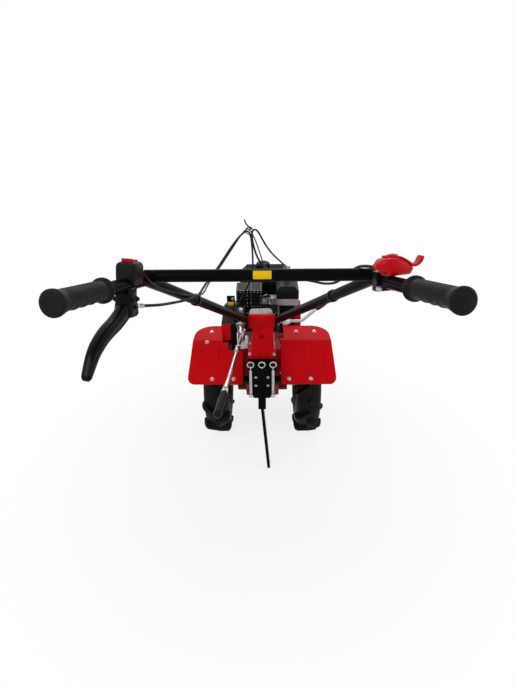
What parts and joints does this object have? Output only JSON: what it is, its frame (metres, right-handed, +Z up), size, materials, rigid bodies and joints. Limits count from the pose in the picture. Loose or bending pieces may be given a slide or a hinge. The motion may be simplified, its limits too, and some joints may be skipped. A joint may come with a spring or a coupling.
{
  "type": "hand tractor",
  "caption": "Two-wheeled walk-behind hand tractor with a petrol engine ahead of the axle, red fenders, handlebars and a rear coulter",
  "frame": {"origin": "on the floor under the middle of the box round the whole machine, halfway between the grips side to side", "axes": "+X to the operator's right, +Y forward the way it drives, +Z up"},
  "size_m": [0.6042, 1.5522, 1.0545],
  "materials": {
    "red_paint": "gloss",
    "gearbox_paint": "satin",
    "black_paint": "gloss",
    "heat_black": "matte",
    "cast_aluminium": "satin",
    "black_plastic": "satin",
    "red_plastic": "gloss",
    "grip_rubber": "matte",
    "tyre_rubber": "matte",
    "bright_steel": "polished",
    "zinc_steel": "satin",
    "cable_sheath": "satin"
  },
  "bodies": {
    "chassis": {"air_cleaner": "black_plastic", "bed_back_plate": "black_paint", "bed_front_plate": "black_paint", "bed_rail_left": "black_paint", "bed_rail_right": "black_paint", "belt_backplate": "black_paint", "belt_guard": "red_paint", "carburettor": "cast_aluminium", "clamp_grip": "black_plastic", "clamp_lever": "bright_steel", "column": "red_paint", "coulter": "black_paint", "coulter_holder": "black_paint", "crankcase": "cast_aluminium", "cylinder": "cast_aluminium", "fender_bar": "black_paint", "fender_left": "red_paint", "fender_right": "red_paint", "fuel_cap": "black_plastic", "fuel_tank": "black_paint", "gear_grip": "black_plastic", "gear_lever": "bright_steel", "gearbox": "gearbox_paint", "hitch": "black_paint", "hitch_pins": "zinc_steel", "muffler": "heat_black", "pivot_bolt": "zinc_steel", "recoil_starter": "red_plastic", "rocker_cover": "cast_aluminium", "shift_housing": "cast_aluminium", "spark_plug": "black_plastic", "starter_grip": "black_plastic"},
    "wheel_set": {"axle": "zinc_steel", "hub_left": "zinc_steel", "hub_right": "zinc_steel", "rim_left": "black_paint", "rim_right": "black_paint", "tyre_left": "tyre_rubber", "tyre_right": "tyre_rubber"},
    "handlebar": {"arm_left": "black_paint", "arm_right": "black_paint", "clutch_bracket": "black_paint", "clutch_cable": "cable_sheath", "clutch_lever": "black_paint", "crossbar": "black_paint", "grip_left": "grip_rubber", "grip_right": "grip_rubber", "stop_rocker": "red_plastic", "stop_switch": "black_plastic", "switch_wire": "cable_sheath", "throttle_body": "red_plastic", "throttle_cable": "cable_sheath", "throttle_clamp": "black_plastic", "throttle_lever": "red_plastic"}
  },
  "joints": [
    {"name": "axle_spin", "type": "hinge", "parent": "chassis", "child": "wheel_set", "pos_m": [0, 0.3, 0.205], "axis": [-1, 0, 0], "continuous": true},
    {"name": "handlebar_height", "type": "hinge", "parent": "chassis", "child": "handlebar", "pos_m": [0, 0.1, 0.56], "axis": [-1, 0, 0], "range_deg": [-18, 12], "deforming": ["clutch_cable", "throttle_cable", "switch_wire"]}
  ]
}
